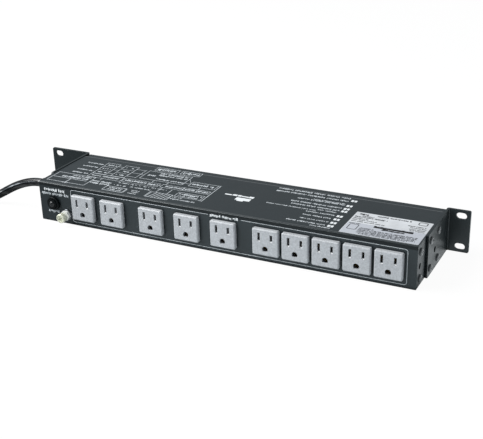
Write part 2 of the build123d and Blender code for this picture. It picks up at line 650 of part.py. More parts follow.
# ---- surge and noise filter board, on standoffs over an insulating sheet ----
BOARD_X0, BOARD_X1 = -178.0, -62.0
BOARD_Y0, BOARD_Y1 = 7.0, 49.0
BOARD_HOLES = [(x, y) for y in (BOARD_Y0 + 5, BOARD_Y1 - 5) for x in (BOARD_X0 + 5, BOARD_X1 - 5)]
STANDOFF_H = 6.0
BOARD_LOW = FLOOR + STANDOFF_H
BOARD_TOP = BOARD_LOW + 1.6
ENTRY_Y = (20.0, 27.0, 34.0)        # terminal block entries
ENTRY_Z = BOARD_TOP + 4.5
CHOKE_X, CHOKE_Y = -116.0, 20.0


def insulating_sheet():
    sheet = block(BOARD_X0 - 4, BOARD_X1 + 4, BOARD_Y0 - 3, BOARD_Y1 + 3, FLOOR, FLOOR + 0.4)
    for x, y in BOARD_HOLES:
        sheet -= rod_z(FLOOR - 1, FLOOR + 2, x, y, 3.1)
    return sheet


def standoff(x, y):
    hexagon = extrude(RegularPolygon(3.0, 6), STANDOFF_H - CLEAR)
    return one(Pos(x, y, FLOOR) * hexagon - rod_z(FLOOR + 1, BOARD_LOW + 1, x, y, 1.52))


def surge_board():
    board = block(BOARD_X0, BOARD_X1, BOARD_Y0, BOARD_Y1, BOARD_LOW, BOARD_TOP)
    for x, y in BOARD_HOLES:
        board -= rod_z(BOARD_LOW - 1, BOARD_LOW + 3, x, y, 1.65)
    return board


def board_screws():
    screw = pan_screw(head_r=2.7, head_h=1.7, shank_r=1.47, length=5.5)
    return [Pos(x, y, BOARD_TOP) * screw for x, y in BOARD_HOLES]


def varistor(x, y=36.0):
    """Upright disc on two leads."""
    disc = Rot(90, 0, 0) * Cylinder(7.2, 4.4)
    disc = fillet(circles(disc), 1.1)
    part = Pos(x, y, BOARD_TOP + 9.0) * disc
    for dx in (-3.75, 3.75):
        part += rod_z(BOARD_TOP, BOARD_TOP + 6.5, x + dx, y, 0.4)
    return one(part)


def capacitor(x0, x1, y0, y1, height, corner):
    case = block(x0, x1, y0, y1, BOARD_TOP, BOARD_TOP + height)
    return fillet(case.edges().filter_by(Axis.Z), corner)


def choke_core():
    core = (rod_z(BOARD_TOP + 1.2, BOARD_TOP + 9.2, CHOKE_X, CHOKE_Y, 9.5)
            - rod_z(BOARD_TOP, BOARD_TOP + 12, CHOKE_X, CHOKE_Y, 4.6))
    return fillet(circles(core), 0.6)


def choke_windings():
    """Seven rectangular turns on each side of the core."""
    turns = []
    for side in (-1, 1):
        for k in range(7):
            degrees = 90 * (1 - side) + (k - 3) * 17
            a = math.radians(degrees)
            place = Pos(CHOKE_X + 7.05 * math.cos(a), CHOKE_Y + 7.05 * math.sin(a),
                        BOARD_TOP + 5.2)
            turn = Box(5.0 + 1.3, 0.85, 8.0 + 1.3) - Box(5.0, 2, 8.1)
            turns.append(one(place * Rot(0, 0, degrees) * turn))
    return turns


def thermal_fuse():
    y, lead_r = 22.5, 0.45
    fuse = block(-148.0, -132.0, y - 2.5, y + 2.5, BOARD_TOP + 0.5, BOARD_TOP + 5.5)
    fuse = fillet(fuse.edges().filter_by(Axis.X), 1.8)
    fuse += rod_x(-152.0, -128.0, y, BOARD_TOP + 3.0, lead_r)
    fuse += (rod_z(BOARD_TOP, BOARD_TOP + 3.0, -151.6, y, lead_r)
             + rod_z(BOARD_TOP, BOARD_TOP + 3.0, -128.4, y, lead_r))
    return fuse


def board_terminal_block():
    body = block(-174.0, -166.0, 16.0, 38.0, BOARD_TOP, BOARD_TOP + 11.0)
    for y in ENTRY_Y:
        body -= rod_x(-180.0, -168.0, y, ENTRY_Z, 1.75)
        body -= rod_z(BOARD_TOP + 6.5, BOARD_TOP + 14, -170.0, y, 1.9)
    return body


def board_leads():
    """Last outlet's tails to the terminal block; the ground lead swings out 6 further."""
    leads = []
    for y, (dx, high, _), swing in zip(ENTRY_Y, (LINE, NEUTRAL, GROUND), (0, 0, 6)):
        step = ENTRY_Y[-1] - y
        points = [(OUTLET_X[-1] + dx, WIRE_END_Y, high),
                  (-203.0 + step * 0.1 - swing, 40.0 - step * 0.3, (high + ENTRY_Z) / 2),
                  (-168.4, y, ENTRY_Z)]
        leads.append(curved_wire(points, WIRE_R, [(0, -1, 0), (1, 0, 0)]))
    return leads


def indicator_lamp(x):
    lamp = rod_y(FRONT + 2.3, FRONT + 8.5, x, LENS_Z, 2.4)
    lamp = fillet(circles(lamp).sort_by(Axis.Y)[0], 1.6)
    lamp += block(x - 3, x + 3, FRONT + 8.5, FRONT + 15.0, LENS_Z - 3, LENS_Z + 3)
    lamp += block(x - 2.2, x + 2.2, FRONT + 10.5, FRONT + 14.5, BOARD_TOP, LENS_Z)
    return one(lamp)


def indicator_lens(x):
    lens = rod_y(FRONT - 0.9, FRONT - CLEAR, x, LENS_Z, 3.9)
    lens = fillet(circles(lens).sort_by(Axis.Y)[0], 0.6)
    lens += rod_y(FRONT - 0.5, FRONT + 2.2, x, LENS_Z, 3.0)
    return one(lens)


def rating_label():
    """Thin printed foil on the top cover."""
    label = block(-217.0, -142.8, 39.6, 89.2, TOP + 0.01, TOP + 0.14)
    return fillet(label.edges().filter_by(Axis.Z), 0.8)


# ---- write the parts ----
export("base_tray", base_tray())
export("top_cover", top_cover())
export("narrow_rack_ear", rack_ear(-1, X_NARROW))
export("wide_rack_ear", rack_ear(1, X_WIDE))
for make in (ear_screws, side_screws, side_clinch_nuts, countersunk_screws, small_clinch_nuts):
    export(make.__name__, make())

for i, outlet in enumerate(at_outlets(outlet_body()), start=1):
    export(f"outlet_{i:02d}", outlet)
export("outlet_rear_caps", at_outlets(outlet_cap()))
export("line_contacts", at_outlets(blade_contact(-1, 6.6, 11.0)))
export("neutral_contacts", at_outlets(blade_contact(1, 0.2, 5.4)))
export("ground_contacts", at_outlets(ground_contact()))

for make in (breaker_body, breaker_nut, reset_button, breaker_lugs, ground_insert,
             ground_star_washer, ground_nut, ground_captive_washer, ground_screw, ground_lug,
             strain_relief, strain_relief_ring, plug_ground_pin, line_cord_conductor,
             neutral_cord_conductor, ground_cord_conductor):
    export(make.__name__, make())
jacket = cord_jacket()
export("cord_jacket", jacket)
export("plug_body", plug_body(jacket))
export("plug_blades", [plug_blade(z) for z in PLUG_BLADE_Z])
export("line_wires", jumpers(LINE) + [load_feed()])
export("neutral_wires", jumpers(NEUTRAL))
export("ground_wires", jumpers(GROUND) + [ground_feed()])

for make in (insulating_sheet, surge_board, board_screws, choke_core, choke_windings,
             thermal_fuse, board_terminal_block, board_leads, rating_label):
    export(make.__name__, make())
export("board_standoffs", [standoff(x, y) for x, y in BOARD_HOLES])
export("varistors", [varistor(-157.0 + 17.5 * k) for k in range(3)])
export("filter_capacitors", [capacitor(-103.0, -85.0, 30.0, 41.0, height=16.0, corner=1.0),
                             capacitor(-100.0, -87.0, 12.0, 19.0, height=11.0, corner=0.8)])
export("indicator_lamps", [indicator_lamp(x) for x in LENS_X])
export("indicator_lenses", [indicator_lens(x) for x in LENS_X])
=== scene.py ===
# A ten-outlet power strip in a black painted case. It lies along X with its printed cover
# facing up (+Z), its outlets on the rear face (+Y) and its rating label on top towards -X.
# The CAD pieces get procedural materials, and the print is added as thin slabs of ink.
import json
import math
import random

import bmesh
import bpy
from mathutils import Matrix, Vector
from mathutils.geometry import delaunay_2d_cdt


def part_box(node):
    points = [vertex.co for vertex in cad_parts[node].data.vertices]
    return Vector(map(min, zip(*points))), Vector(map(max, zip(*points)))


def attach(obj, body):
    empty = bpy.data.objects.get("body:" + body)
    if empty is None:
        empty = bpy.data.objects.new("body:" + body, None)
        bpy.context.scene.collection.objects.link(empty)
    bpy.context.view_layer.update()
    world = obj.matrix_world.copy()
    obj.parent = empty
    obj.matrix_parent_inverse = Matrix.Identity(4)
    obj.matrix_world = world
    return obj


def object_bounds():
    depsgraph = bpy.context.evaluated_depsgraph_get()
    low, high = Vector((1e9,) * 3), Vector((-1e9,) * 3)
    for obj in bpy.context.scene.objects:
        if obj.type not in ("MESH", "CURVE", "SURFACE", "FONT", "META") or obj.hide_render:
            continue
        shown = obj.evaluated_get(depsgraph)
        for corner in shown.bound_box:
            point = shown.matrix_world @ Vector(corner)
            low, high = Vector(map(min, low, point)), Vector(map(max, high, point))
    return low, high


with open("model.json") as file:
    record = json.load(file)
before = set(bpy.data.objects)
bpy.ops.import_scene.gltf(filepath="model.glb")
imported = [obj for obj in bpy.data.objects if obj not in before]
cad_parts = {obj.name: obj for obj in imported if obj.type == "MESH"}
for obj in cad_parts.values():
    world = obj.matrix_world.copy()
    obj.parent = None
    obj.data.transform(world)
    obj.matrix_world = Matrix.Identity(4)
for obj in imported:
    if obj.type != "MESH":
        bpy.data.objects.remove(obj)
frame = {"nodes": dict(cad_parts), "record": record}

MM = 0.001
CAD_BOX = [list(corner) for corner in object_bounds()]
COVER_LO, COVER_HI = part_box("top_cover")
LABEL_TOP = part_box("rating_label")[1].z

scene = bpy.context.scene
scene.view_settings.view_transform = "Standard"
scene.view_settings.look = "None"
scene.view_settings.exposure = 0.0
scene.view_settings.gamma = 1.0


# ---------------------------------------------------------------- node helpers
def srgb(*channels):
    """Linear colour from sRGB channels of 0 to 255."""
    parts = [channel / 255 for channel in channels]
    return tuple(c / 12.92 if c <= 0.04045 else ((c + 0.055) / 1.055) ** 2.4 for c in parts)


def scaled(colour, factor=1.0):
    red, green, blue = colour
    return (red * factor, green * factor, blue * factor, 1.0)


class Nodes:
    """The emptied node tree of a material or world, with short ways to fill it."""

    def __init__(self, owner):
        owner.use_nodes = True
        self.tree = owner.node_tree
        self.tree.nodes.clear()

    def feed(self, node, inputs):
        """Gives each named or numbered input a value, or a link if given a socket."""
        for key, value in inputs.items():
            if isinstance(value, bpy.types.NodeSocket):
                self.tree.links.new(value, node.inputs[key])
            else:
                node.inputs[key].default_value = value

    def add(self, kind, inputs=None, **settings):
        node = self.tree.nodes.new("ShaderNode" + kind)
        for key, value in settings.items():
            setattr(node, key, value)
        self.feed(node, inputs or {})
        return node

    def ramp(self, factor, stops):
        """Colour ramp; stops maps each position to its colour."""
        node = self.add("ValToRGB", {"Fac": factor})
        elements = node.color_ramp.elements
        while len(elements) > 1:
            elements.remove(elements[-1])
        (position, colour), *others = stops.items()
        elements[0].position, elements[0].color = position, colour
        for position, colour in others:
            elements.new(position).color = colour
        return node.outputs["Color"]

    def remap(self, value, span, to=(0.0, 1.0)):
        """Maps the span of input values onto another span, clamped."""
        return self.add("MapRange", {"Value": value, "From Min": span[0], "From Max": span[1],
                                     "To Min": to[0], "To Max": to[1]}).outputs["Result"]

    def multiply(self, first, second):
        return self.add("Math", {0: first, 1: second}, operation="MULTIPLY").outputs[0]


class Material(Nodes):
    """A material built round one Principled shader, textured in object coordinates."""

    def __init__(self, name):
        self.data = bpy.data.materials.new(name)
        super().__init__(self.data)
        self.shader = self.add("BsdfPrincipled")
        self.add("OutputMaterial", {0: self.shader.outputs[0]})
        self.place = self.add("TexCoord").outputs["Object"]

    def noise(self, scale, detail=3.0, roughness=0.55, stretch=None):
        place = self.place
        if stretch:
            place = self.add("Mapping", {"Vector": place, "Scale": stretch}).outputs[0]
        return self.add("TexNoise", {"Vector": place, "Scale": scale, "Detail": detail,
                                     "Roughness": roughness}).outputs["Fac"]

    def mix(self, first, second, factor):
        node = self.add("Mix", {0: factor, 6: first, 7: second}, data_type="RGBA")
        return node.outputs[2]

    def bevel(self, radius):
        return self.add("Bevel", {"Radius": radius}, samples=4).outputs[0]

    def edge_mask(self, radius):
        """0 on flats, towards 1 on edges narrower than the radius."""
        rounded = self.bevel(radius)
        normal = self.add("NewGeometry").outputs["Normal"]
        dot = self.add("VectorMath", {0: rounded, 1: normal}, operation="DOT_PRODUCT")
        return self.remap(dot.outputs["Value"], span=(1.0, 0.75))

    def openness(self, distance, samples):
        """Ambient occlusion: 1 in the open, lower in corners and holes."""
        node = self.add("AmbientOcclusion", {"Distance": distance}, samples=samples)
        return node.outputs["AO"]

    def bump(self, height, strength, distance, over=None):
        """Bumped normal, laid over another normal if one is given."""
        node = self.add("Bump", {"Strength": strength, "Distance": distance, "Height": height})
        if over is not None:
            self.feed(node, {"Normal": over})
        return node.outputs[0]

    def finish(self, inputs):
        self.feed(self.shader, inputs)
        return self.data


# ---------------------------------------------------------------- kinds of material
def coat_paint(name, base, edge=2.2, painted_shade_band=None):
    """Black powder coat: orange peel, finer grain, mottling, dust, edges pale from wear and
    painted highlight.

    edge brightens the edges, partly as wear and partly as painted highlight; painted_shade_band
    is (low z, high z, least y) of a darker, duller band of painted shade.
    """
    roughness = 0.36
    specular = 0.5
    grain = 900.0  # noise scale of the orange peel
    relief = 0.00006  # depth of the orange peel
    mat = Material(name)
    broad = mat.noise(scale=9.0, detail=4.0, roughness=0.6)
    middle = mat.noise(scale=70.0, detail=4.0, roughness=0.6)
    peel = mat.noise(scale=grain, detail=2.5)
    fine = mat.noise(scale=grain * 2.6, detail=2.0, roughness=0.5)
    tone = mat.ramp(broad, stops={0.3: scaled(base, 0.90), 0.7: scaled(base, 1.12)})
    mottling = mat.remap(middle, span=(0.45, 0.75), to=(0.0, 0.35))
    tone = mat.mix(tone, scaled(base, 1.25), factor=mottling)
    dust = mat.remap(fine, span=(0.60, 0.76), to=(0.0, 0.6))
    tone = mat.mix(tone, scaled(base, 2.6), factor=dust)
    # edges paler in scuffed patches: partly wear, partly a painted highlight of the light that
    # bends catch
    scuffs = mat.noise(scale=160.0, detail=5.0, roughness=0.7)
    wear_and_edge_highlight = mat.multiply(mat.edge_mask(radius=0.0006),
                          mat.remap(scuffs, span=(0.35, 0.65), to=(0.25, 1.0)))
    tone = mat.mix(tone, scaled(base, edge), factor=wear_and_edge_highlight)
    # painted shade: duller and darker where two walls meet
    openness = mat.openness(distance=0.0035, samples=4)
    corners = mat.remap(openness, span=(0.52, 0.80), to=(0.8, 0.0))
    tone = mat.mix(tone, scaled(base, 0.15), factor=corners)
    level = mat.remap(openness, span=(0.52, 0.80), to=(specular * 0.2, specular))
    if painted_shade_band:
        # painted shade: a darker, less glossy band just under the rear bend, which dims the light
        # the bend spreads there
        low, high, rear = painted_shade_band
        place = mat.add("SeparateXYZ", {0: mat.place})
        height, depth = place.outputs["Z"], place.outputs["Y"]
        band = mat.multiply(mat.remap(height, span=(low - 0.0006, low)),
                            mat.remap(height, span=(high, high + 0.0006), to=(1.0, 0.0)))
        band = mat.multiply(band, mat.remap(depth, span=(rear, rear + 0.0004)))
        tone = mat.mix(tone, scaled(base, 0.45), factor=band)
        level = mat.multiply(level, mat.remap(band, span=(0.0, 1.0), to=(1.0, 0.55)))
    normal = mat.bump(peel, strength=0.5, distance=relief, over=mat.bevel(radius=0.0003))
    return mat.finish({
        "Base Color": tone,
        "Roughness": mat.remap(middle, span=(0.3, 0.7), to=(roughness - 0.03, roughness + 0.05)),
        "Specular IOR Level": level,
        "Specular Tint": (0.93, 0.99, 1.0, 1),
        "Normal": mat.bump(fine, strength=0.3, distance=relief * 0.4, over=normal),
    })


def moulded(name, base, rough, spec=0.5, grain=900.0, strength=0.15, speck=0.0, edge=1.15,
            bevel=0.00025, coat=0.0, flow=0.05, mottle=0.0, hole_shade_reach=0.0):
    """Moulded plastic: faint flow lines, fine texture, specks, slightly paler edges, painted
    shade in holes.

    grain and strength set the fine texture, edge the brightness of the edges and coat the
    weight of a gloss coat; recess is the reach of the painted shade that darkens holes.
    """
    mat = Material(name)
    broad = mat.noise(scale=40.0, roughness=0.5, stretch=(1.0, 1.0, 3.0))
    fine = mat.noise(scale=grain, detail=2.0, roughness=0.5)
    spots = mat.noise(scale=grain * 0.45, roughness=0.6)
    tone = mat.ramp(broad, stops={0.3: scaled(base, 1 - flow), 0.7: scaled(base, 1 + flow)})
    if mottle:
        salt = mat.remap(mat.noise(scale=760.0, detail=1.5, roughness=0.5), span=(0.38, 0.62))
        tone = mat.mix(mat.mix(tone, scaled(base, 0.45), factor=mottle),
                       mat.mix(tone, scaled(base, 1.6), factor=mottle), factor=salt)
    if speck:
        dark_specks = mat.remap(spots, span=(0.58, 0.72), to=(0.0, speck))
        tone = mat.mix(tone, scaled(base, 0.62), factor=dark_specks)
        pale_specks = mat.remap(fine, span=(0.62, 0.75), to=(0.0, speck))
        tone = mat.mix(tone, scaled(base, 1.25), factor=pale_specks)
    tone = mat.mix(tone, scaled(base, edge), factor=mat.edge_mask(radius=0.0005))
    if hole_shade_reach:
        # painted shade: holes go nearly black, except on faces that look up
        openness = mat.openness(distance=hole_shade_reach, samples=6)
        facing = mat.add("SeparateXYZ", {0: mat.add("NewGeometry").outputs["True Normal"]})
        dark = mat.multiply(
            mat.remap(openness, span=(0.28, 0.50), to=(0.96, 0.0)),
            mat.remap(facing.outputs["Z"], span=(0.4, 0.6), to=(1.0, 0.0)))
        tone = mat.mix(tone, scaled(base, 0.03), factor=dark)
    if coat:
        mat.finish({"Coat Weight": coat, "Coat IOR": 1.6, "Coat Roughness": 0.04})
    return mat.finish({
        "Base Color": tone,
        "Roughness": mat.remap(spots, span=(0.3, 0.7), to=(rough - 0.05, rough + 0.05)),
        "Specular IOR Level": spec,
        "Normal": mat.bump(fine, strength=strength, distance=0.00003, over=mat.bevel(bevel)),
    })


def metal(name, base, rough):
    """Turned or stamped metal: fine tool marks, tarnish in patches."""
    mat = Material(name)
    lines = mat.noise(scale=600.0, roughness=0.6, stretch=(1.0, 1.0, 1.0))
    patches = mat.noise(scale=180.0, detail=4.0, roughness=0.6)
    tone = mat.ramp(lines, stops={0.3: scaled(base, 0.82), 0.7: scaled(base, 1.08)})
    tarnish = mat.remap(patches, span=(0.5, 0.75), to=(0.0, 0.55))
    return mat.finish({
        "Base Color": mat.mix(tone, scaled(base, 0.55), factor=tarnish),
        "Metallic": 1.0,
        "Roughness": mat.remap(patches, span=(0.3, 0.7), to=(rough - 0.06, rough + 0.12)),
        "Normal": mat.bump(lines, strength=0.25, distance=0.00002, over=mat.bevel(0.00015)),
    })


def plated(name, base, rough, bevel=0.00015, metallic=0.35):
    """Bright nickel or zinc plating with a milky chromate film over it. Its base colour, lighter
    and less metallic than the plating's own, is in part a painted reflection.
    """
    mat = Material(name)
    lines = mat.noise(scale=700.0, roughness=0.6, stretch=(1.0, 0.2, 1.0))
    patches = mat.noise(scale=260.0, detail=4.0, roughness=0.6)
    tone = mat.ramp(patches, stops={0.3: scaled(base, 0.78), 0.62: scaled(base, 1.12)})
    streaks = mat.remap(lines, span=(0.35, 0.7), to=(0.0, 0.5))
    return mat.finish({
        "Base Color": mat.mix(tone, scaled(base, 0.8), factor=streaks),
        "Metallic": metallic,
        "Specular IOR Level": 0.8,
        "Roughness": mat.remap(patches, span=(0.3, 0.7), to=(rough - 0.08, rough + 0.1)),
        "Coat Weight": 0.6,
        "Coat Roughness": 0.08,
        "Normal": mat.bump(lines, strength=0.3, distance=0.00003, over=mat.bevel(bevel)),
    })


def ink(name, base, patchy):
    """Screen-printed ink: slightly uneven density and pinholes."""
    mat = Material(name)
    density = mat.noise(scale=700.0, roughness=0.6)
    fine = mat.noise(scale=2600.0, detail=2.0, roughness=0.5)
    tone = mat.ramp(density, stops={0.3: scaled(base, 1 - patchy), 0.62: scaled(base)})
    pinholes = mat.remap(fine, span=(0.6, 0.75), to=(0.0, 0.4))
    return mat.finish({
        "Base Color": mat.mix(tone, scaled(base, 0.6), factor=pinholes),
        "Roughness": 0.5,
        "Specular IOR Level": 0.3,
        "Normal": mat.bump(fine, strength=0.1, distance=0.00001),
    })


def foil(name, base):
    """Satin white-silver label stock with faint mottling."""
    mat = Material(name)
    clouds = mat.noise(scale=55.0, detail=5.0, roughness=0.65)
    fine = mat.noise(scale=900.0, roughness=0.6)
    tone = mat.ramp(clouds, stops={0.32: scaled(base, 0.86), 0.68: scaled(base, 1.08)})
    mottling = mat.remap(fine, span=(0.5, 0.75), to=(0.0, 0.35))
    return mat.finish({
        "Base Color": mat.mix(tone, scaled(base, 0.8), factor=mottling),
        "Roughness": mat.remap(clouds, span=(0.3, 0.7), to=(0.28, 0.42)),
        "Metallic": 0.15,
        "Normal": mat.bump(fine, strength=0.15, distance=0.00002, over=mat.bevel(0.0001)),
    })


def jacket(name, base, rough):
    """Extruded PVC cord jacket: long faint lay lines, gloss with dull scuffs."""
    mat = Material(name)
    lay = mat.noise(scale=220.0, roughness=0.5, stretch=(0.25, 0.25, 1.0))
    scuffs = mat.noise(scale=90.0, detail=5.0, roughness=0.7)
    fine = mat.noise(scale=1800.0, detail=2.0, roughness=0.5)
    tone = mat.ramp(scuffs, stops={0.35: scaled(base, 0.8), 0.7: scaled(base, 1.5)})
    dullness = mat.remap(scuffs, span=(0.35, 0.7), to=(rough, rough + 0.16))
    shine = mat.noise(scale=150.0, stretch=(0.22, 1.0, 1.0))
    lay_normal = mat.bump(lay, strength=0.25, distance=0.0002)
    return mat.finish({
        "Base Color": tone,
        "Roughness": dullness,
        "Specular IOR Level": 0.1,
        "Coat Weight": mat.remap(shine, span=(0.47, 0.60), to=(0.15, 1.0)),
        "Coat IOR": 1.9,
        "Coat Roughness": 0.03,
        "Normal": mat.bump(fine, strength=0.12, distance=0.00003, over=lay_normal),
    })


def lens(name, base):
    """Clear tinted plastic of a lamp."""
    mat = Material(name)
    clouds = mat.noise(scale=500.0, detail=2.0, roughness=0.5)
    return mat.finish({
        "Base Color": mat.ramp(clouds, stops={0.3: scaled(base, 0.85), 0.7: scaled(base)}),
        "Roughness": mat.remap(clouds, span=(0.3, 0.7), to=(0.08, 0.16)),
        "Transmission Weight": 0.6,
        "Coat Weight": 0.5,
    })


# ---------------------------------------------------------------- materials of the CAD pieces
# slot name: kind of material, linear base colour, settings
SLOTS = {
    "case_paint": (coat_paint, (0.0145, 0.0205, 0.0240),
                   dict(painted_shade_band=(0.0176, 0.0204, 0.0916))),
    "ear_paint": (coat_paint, (0.0125, 0.0180, 0.0200), {}),
    # black_screws is a mid grey rather than black, a painted sheen like the reflections on the
    # side plates; zinc_steel and screw_brass are pale and barely metallic, painting in the
    # brightness of reflections
    "black_screws": (plated, (0.105, 0.112, 0.116), dict(rough=0.34, bevel=0.0003)),
    "zinc_steel": (plated, (0.96, 0.97, 0.93), dict(rough=0.22, metallic=0.05)),
    "dark_steel": (metal, srgb(120, 124, 128), dict(rough=0.3)),
    "outlet_plastic": (moulded, (0.485, 0.502, 0.524),
                       dict(rough=0.42, spec=0.45, grain=1300.0, strength=0.25, speck=0.25,
                            edge=1.1, bevel=0.0003, flow=0.03, mottle=0.17, hole_shade_reach=0.004)),
    "contact_brass": (metal, srgb(150, 124, 74), dict(rough=0.38)),
    "screw_brass": (plated, (0.84, 0.85, 0.68), dict(rough=0.24, bevel=0.00025, metallic=0.15)),
    "wire_black": (moulded, srgb(28, 28, 29), dict(rough=0.3)),
    "wire_white": (moulded, srgb(215, 215, 210), dict(rough=0.35)),
    "wire_green": (moulded, srgb(30, 125, 60), dict(rough=0.35)),
    "breaker_black": (moulded, (0.0030, 0.0046, 0.0052),
                      dict(rough=0.42, spec=0.16, grain=1200.0, edge=3.2)),
    "button_black": (moulded, (0.0028, 0.0040, 0.0048),
                     dict(rough=0.3, spec=0.1, grain=700.0, strength=0.05, edge=2.4, coat=0.8)),
    "cord_jacket": (jacket, (0.0030, 0.0040, 0.0052), dict(rough=0.3)),
    "plug_vinyl": (moulded, srgb(30, 31, 33),
                   dict(rough=0.4, grain=1000.0, edge=1.8, strength=0.25)),
    "relief_nylon": (moulded, srgb(26, 26, 27), dict(rough=0.42, edge=1.8)),
    "board_laminate": (moulded, srgb(28, 96, 52), dict(rough=0.3, grain=2000.0, strength=0.1)),
    "varistor_blue": (moulded, srgb(40, 78, 160), dict(rough=0.25, flow=0.12)),
    "capacitor_box": (moulded, srgb(196, 158, 60), dict(rough=0.35)),
    "ferrite": (moulded, srgb(60, 60, 62), dict(rough=0.6, speck=0.4)),
    "copper_winding": (metal, srgb(196, 116, 66), dict(rough=0.25)),
    "fuse_ceramic": (moulded, srgb(224, 222, 214), dict(rough=0.5, speck=0.2)),
    "terminal_green": (moulded, srgb(44, 134, 70), dict(rough=0.4)),
    "insulating_paper": (moulded, srgb(186, 168, 132),
                         dict(rough=0.7, grain=700.0, speck=0.4, strength=0.4)),
    "lamp_body": (moulded, srgb(38, 38, 40), dict(rough=0.4)),
    "lens_red": (lens, srgb(190, 40, 32), {}),
    "label_foil": (foil, srgb(232, 235, 239), {}),
}
materials = {name: make(name, base, **settings)
             for name, (make, base, settings) in SLOTS.items()}
for part in frame["record"]["subparts"]:
    piece = frame["nodes"][part["node"]]
    piece.data.materials.clear()
    piece.data.materials.append(materials[part["material_slot"]])

INK_WHITE = ink("ink_white", srgb(246, 250, 252), patchy=0.2)
INK_GREY = ink("ink_grey", srgb(214, 220, 224), patchy=0.3)
# pale paint for lines along the cover's edges: a painted highlight
EDGE_HIGHLIGHT_PAINT = coat_paint("painted_edge_highlight", (0.115, 0.122, 0.128), edge=1.2)
LABEL_INK = ink("label_ink", srgb(20, 21, 23), patchy=0.2)
LABEL_GREY = ink("label_grey", srgb(34, 37, 42), patchy=0.25)
LABEL_TINT = ink("label_tint", srgb(196, 200, 208), patchy=0.12)
# near white, far paler than the outlet plastic: a painted highlight on the floors of the slots
SLOT_LIP_HIGHLIGHT = moulded("slot_lip_highlight", (0.96, 0.97, 0.98), rough=0.3, spec=0.7, grain=1300.0,
                   strength=0.1)


# ---------------------------------------------------------------- flat shapes, in millimetres
dice = random.Random(7)


def rectangle(x0, y0, x1, y1):
    return [(x0, y0), (x1, y0), (x1, y1), (x0, y1)]


def stroke(start, end, width):
    """A straight line with square ends that reach half a width past its points."""
    start, end = Vector(start), Vector(end)
    along = Vector((end_x_minus(start, end), end_y_minus(start, end)))
    along.normalize()
    side, cap = Vector((-along.y, along.x)) * width / 2, along * width / 2
    start, end = start - cap, end + cap
    return [tuple(start - side), tuple(end - side), tuple(end + side), tuple(start + side)]


def end_x_minus(start, end):
    return end.x - start.x


def end_y_minus(start, end):
    return end.y - start.y


def quarter_arc(x, y, radius, start):
    """Seven points anticlockwise round a quarter circle from the start angle in degrees."""
    angles = [math.radians(start + 15 * i) for i in range(7)]
    return [(x + radius * math.cos(angle), y + radius * math.sin(angle)) for angle in angles]


def rounded_loop(x0, y0, x1, y1, radius):
    return (quarter_arc(x1 - radius, y0 + radius, radius, -90)
            + quarter_arc(x1 - radius, y1 - radius, radius, 0)
            + quarter_arc(x0 + radius, y1 - radius, radius, 90)
            + quarter_arc(x0 + radius, y0 + radius, radius, 180))


def strip(points, width, closed=False):
    """A mitred line of even width through the points, as one quad per segment."""
    points = [Vector(point) for point in points]
    count = len(points)
    left, right = [], []
    for i, point in enumerate(points):
        before = (point - points[i - 1]).normalized() if closed or i > 0 else None
        after = None
        if closed or i < count - 1:
            after = (points[(i + 1) % count] - point).normalized()
        before = after if before is None else before
        after = before if after is None else after
        normal = Vector((-before.y, before.x))
        mitre = normal + Vector((-after.y, after.x))
        mitre = mitre / max(mitre.dot(normal), 0.5)
        left.append(tuple(point + mitre * width / 2))
        right.append(tuple(point - mitre * width / 2))
    quads = []
    for i in range(count if closed else count - 1):
        j = (i + 1) % count
        quads.append([right[i], right[j], left[j], left[i]])
    return quads


def text_row(start, end, y, height, density=1.0, fill=0.3):
    """A row of short uneven upright strokes that stands for small print.

    It runs from start towards -X to end. density is the share of strokes printed, and fill
    the usual stroke width as a share of the height.
    """
    total = start - end
    done, left_in_word = 0.0, dice.randint(5, 13)
    strokes = []
    while done < total - 0.2 * height:
        width = min(height * dice.choice((fill * 0.75, fill, fill, fill * 1.5)), total - done)
        tall = height * dice.choice((0.5, 0.74, 0.74, 0.9, 1.0))
        shift = height * dice.choice((-0.14, -0.04, 0.0, 0.04, 0.12))
        if dice.random() < density:
            strokes.append(rectangle(start - (done + width), y + shift - tall / 2,
                                     start - done, y + shift + tall / 2))
        done += width + height * dice.choice((0.1, 0.16, 0.22))
        left_in_word -= 1
        if left_in_word <= 0:
            done += 0.5 * height
            left_in_word = dice.randint(5, 13)
    return strokes


def text_rows(rows):
    return [shape for row in rows for shape in text_row(*row)]


# ---------------------------------------------------------------- from shapes to objects
# each face: its own millimetres to a point in the frame, its normal, its material slot
TOP = (lambda x, y: Vector((x * MM, y * MM, COVER_HI.z)), Vector((0, 0, 1)), "case_paint")
REAR = (lambda x, z: Vector((x * MM, COVER_HI.y, z * MM)), Vector((0, 1, 0)), "case_paint")
LABEL = (lambda x, y: Vector((x * MM, y * MM, LABEL_TOP)), Vector((0, 0, 1)), "label_foil")


def add_object(name, shape, material):
    """Turns the bmesh into an object in the scene."""
    mesh = bpy.data.meshes.new(name)
    shape.to_mesh(mesh)
    shape.free()
    mesh.materials.append(material)
    made = bpy.data.objects.new(name, mesh)
    scene.collection.objects.link(made)
    return made


def add_to_case(name, shape, material):
    bmesh.ops.recalc_face_normals(shape, faces=shape.faces[:])
    made = add_object(name, shape, material)
    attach(made, "case")


